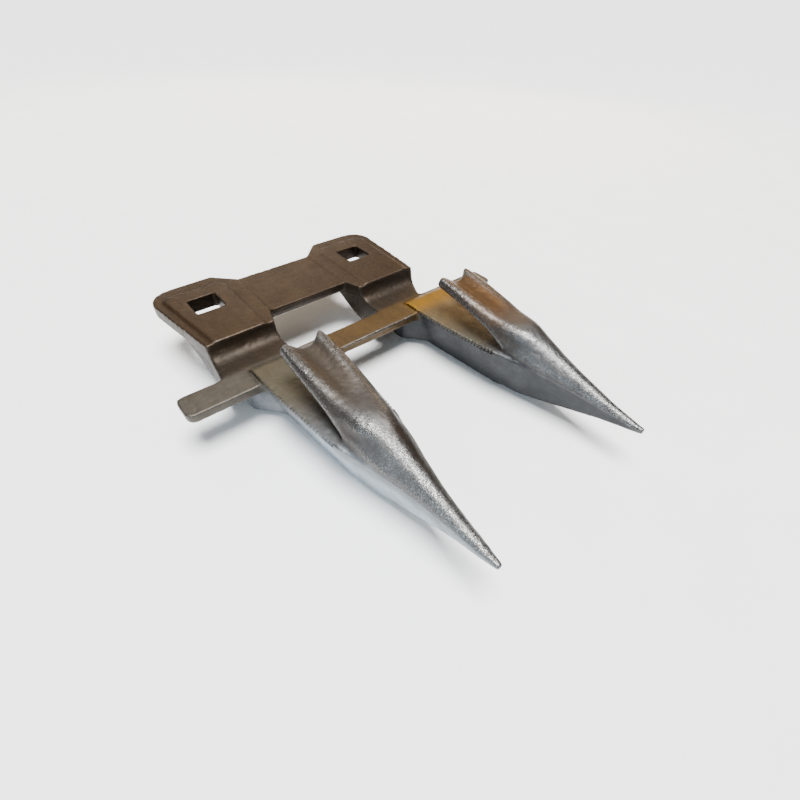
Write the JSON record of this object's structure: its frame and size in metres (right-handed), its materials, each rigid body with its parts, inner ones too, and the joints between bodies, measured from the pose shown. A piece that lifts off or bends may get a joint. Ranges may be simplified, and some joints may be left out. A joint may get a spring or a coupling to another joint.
{
  "type": "double knife guard",
  "caption": "Forged two-finger knife guard for a mower or combine cutter bar, with bolt lugs, cross bar, serrated ledgers and lipped pointed fingers.",
  "frame": {"origin": "midway between the two bolt holes, on the underside of the mounting plate that lies on the cutter bar", "axes": "+X along the cutter bar to the right hand of someone behind the plate looking at the tips, -Y from the plate toward the finger tips, +Z out of the plate on the bolt head side"},
  "size_m": [0.1533, 0.1748, 0.0346],
  "materials": {
    "forged_plate": "oiled brown forge scale, satin",
    "forged_neck": "dark forge scale, satin",
    "bar_steel": "worn brown steel with a rough trimmed edge",
    "finger_steel": "blue-grey rubbed steel flanks",
    "ledger_steel": "olive brown hardened plate with serrated edges",
    "worn_lip": "pitted steel worn bright on the ridges and crest"
  },
  "bodies": {
    "root": {"mounting_web": "forged_plate", "left_bolt_lug": "forged_plate", "right_bolt_lug": "forged_plate", "left_neck": "forged_neck", "right_neck": "forged_neck", "cross_bar": "bar_steel", "left_finger_body": "finger_steel", "right_finger_body": "finger_steel", "left_ledger_plate": "ledger_steel", "right_ledger_plate": "ledger_steel", "left_upper_lip": "worn_lip", "right_upper_lip": "worn_lip"}
  },
  "joints": []
}
